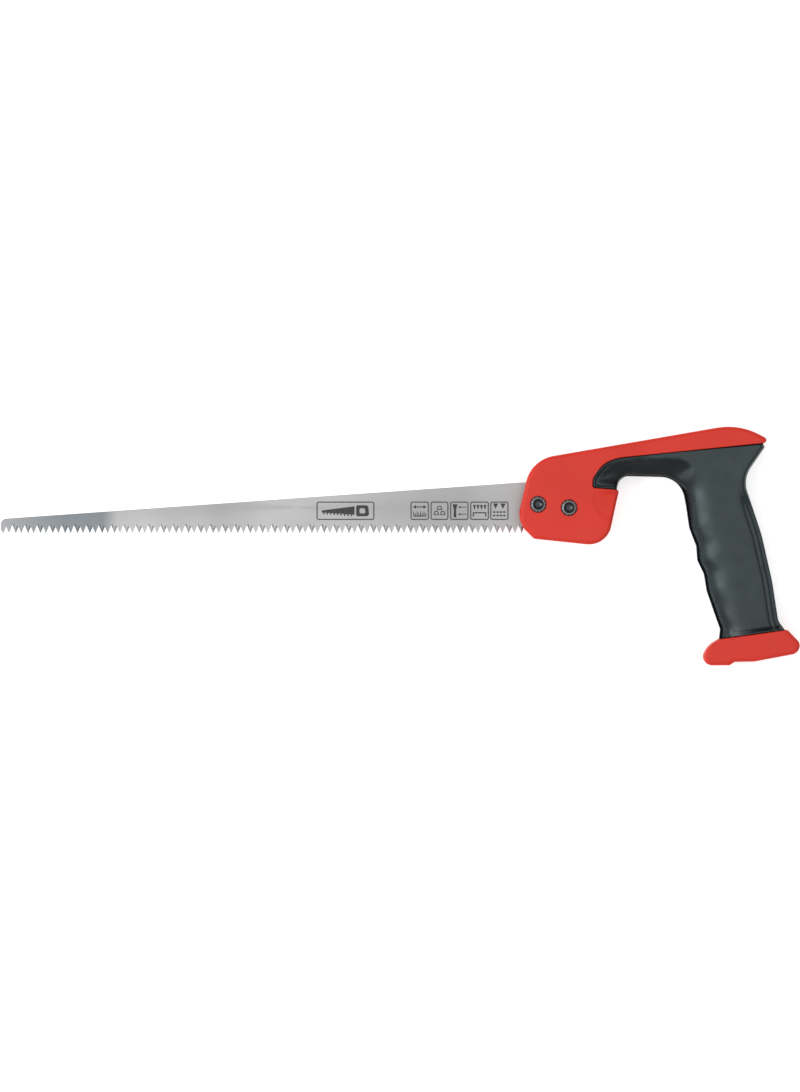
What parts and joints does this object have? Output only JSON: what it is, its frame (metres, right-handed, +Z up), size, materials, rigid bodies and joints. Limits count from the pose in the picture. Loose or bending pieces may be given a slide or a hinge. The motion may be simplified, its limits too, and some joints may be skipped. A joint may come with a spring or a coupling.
{
  "type": "drywall saw",
  "caption": "Drywall saw with a long tapered toothed blade, screwed between the shells of a hard pistol handle with a soft over-moulded grip and a flared butt.",
  "frame": {"origin": "centre of the bounding box, on the bench that the saw lies on; the saw lies flat on its side", "axes": "+X from the toe of the blade to the butt of the handle, +Y from the tooth tips to the back of the blade, +Z up through the thickness, towards the screw heads"},
  "size_m": [0.4614, 0.1378, 0.026],
  "materials": {
    "blade_steel": "brushed, lengthwise grain, ground tooth bevels",
    "hard_plastic": "satin moulded polypropylene",
    "soft_grip": "matt thermoplastic rubber with a fine texture",
    "black_steel": "black oxide",
    "plated_steel": "zinc plated"
  },
  "bodies": {
    "handle": {"blade": "blade_steel", "upper_shell": "hard_plastic", "lower_shell": "hard_plastic", "grip_overmould": "soft_grip", "butt_cap": "hard_plastic", "front_nut": "plated_steel", "rear_nut": "plated_steel"},
    "front_washer": {"front_washer": "plated_steel"},
    "front_screw": {"front_screw": "black_steel"},
    "rear_washer": {"rear_washer": "plated_steel"},
    "rear_screw": {"rear_screw": "black_steel"}
  },
  "joints": [
    {"name": "front_screw_rise", "type": "slide", "parent": "handle", "child": "front_washer", "axis": [0, 0, 1], "range_m": [0, 0.004]},
    {"name": "front_screw_turn", "type": "hinge", "parent": "front_washer", "child": "front_screw", "pos_m": [0.07978, 0.02404, 0.013], "axis": [0, 0, 1], "range_deg": [0, 1800]},
    {"name": "rear_screw_rise", "type": "slide", "parent": "handle", "child": "rear_washer", "axis": [0, 0, 1], "range_m": [0, 0.004]},
    {"name": "rear_screw_turn", "type": "hinge", "parent": "rear_washer", "child": "rear_screw", "pos_m": [0.09758, 0.02214, 0.013], "axis": [0, 0, 1], "range_deg": [0, 1800]}
  ],
  "couplings": [
    {"joint": "front_screw_turn", "follows": "front_screw_rise", "rad_per_m": 7854},
    {"joint": "rear_screw_turn", "follows": "rear_screw_rise", "rad_per_m": 7854}
  ]
}
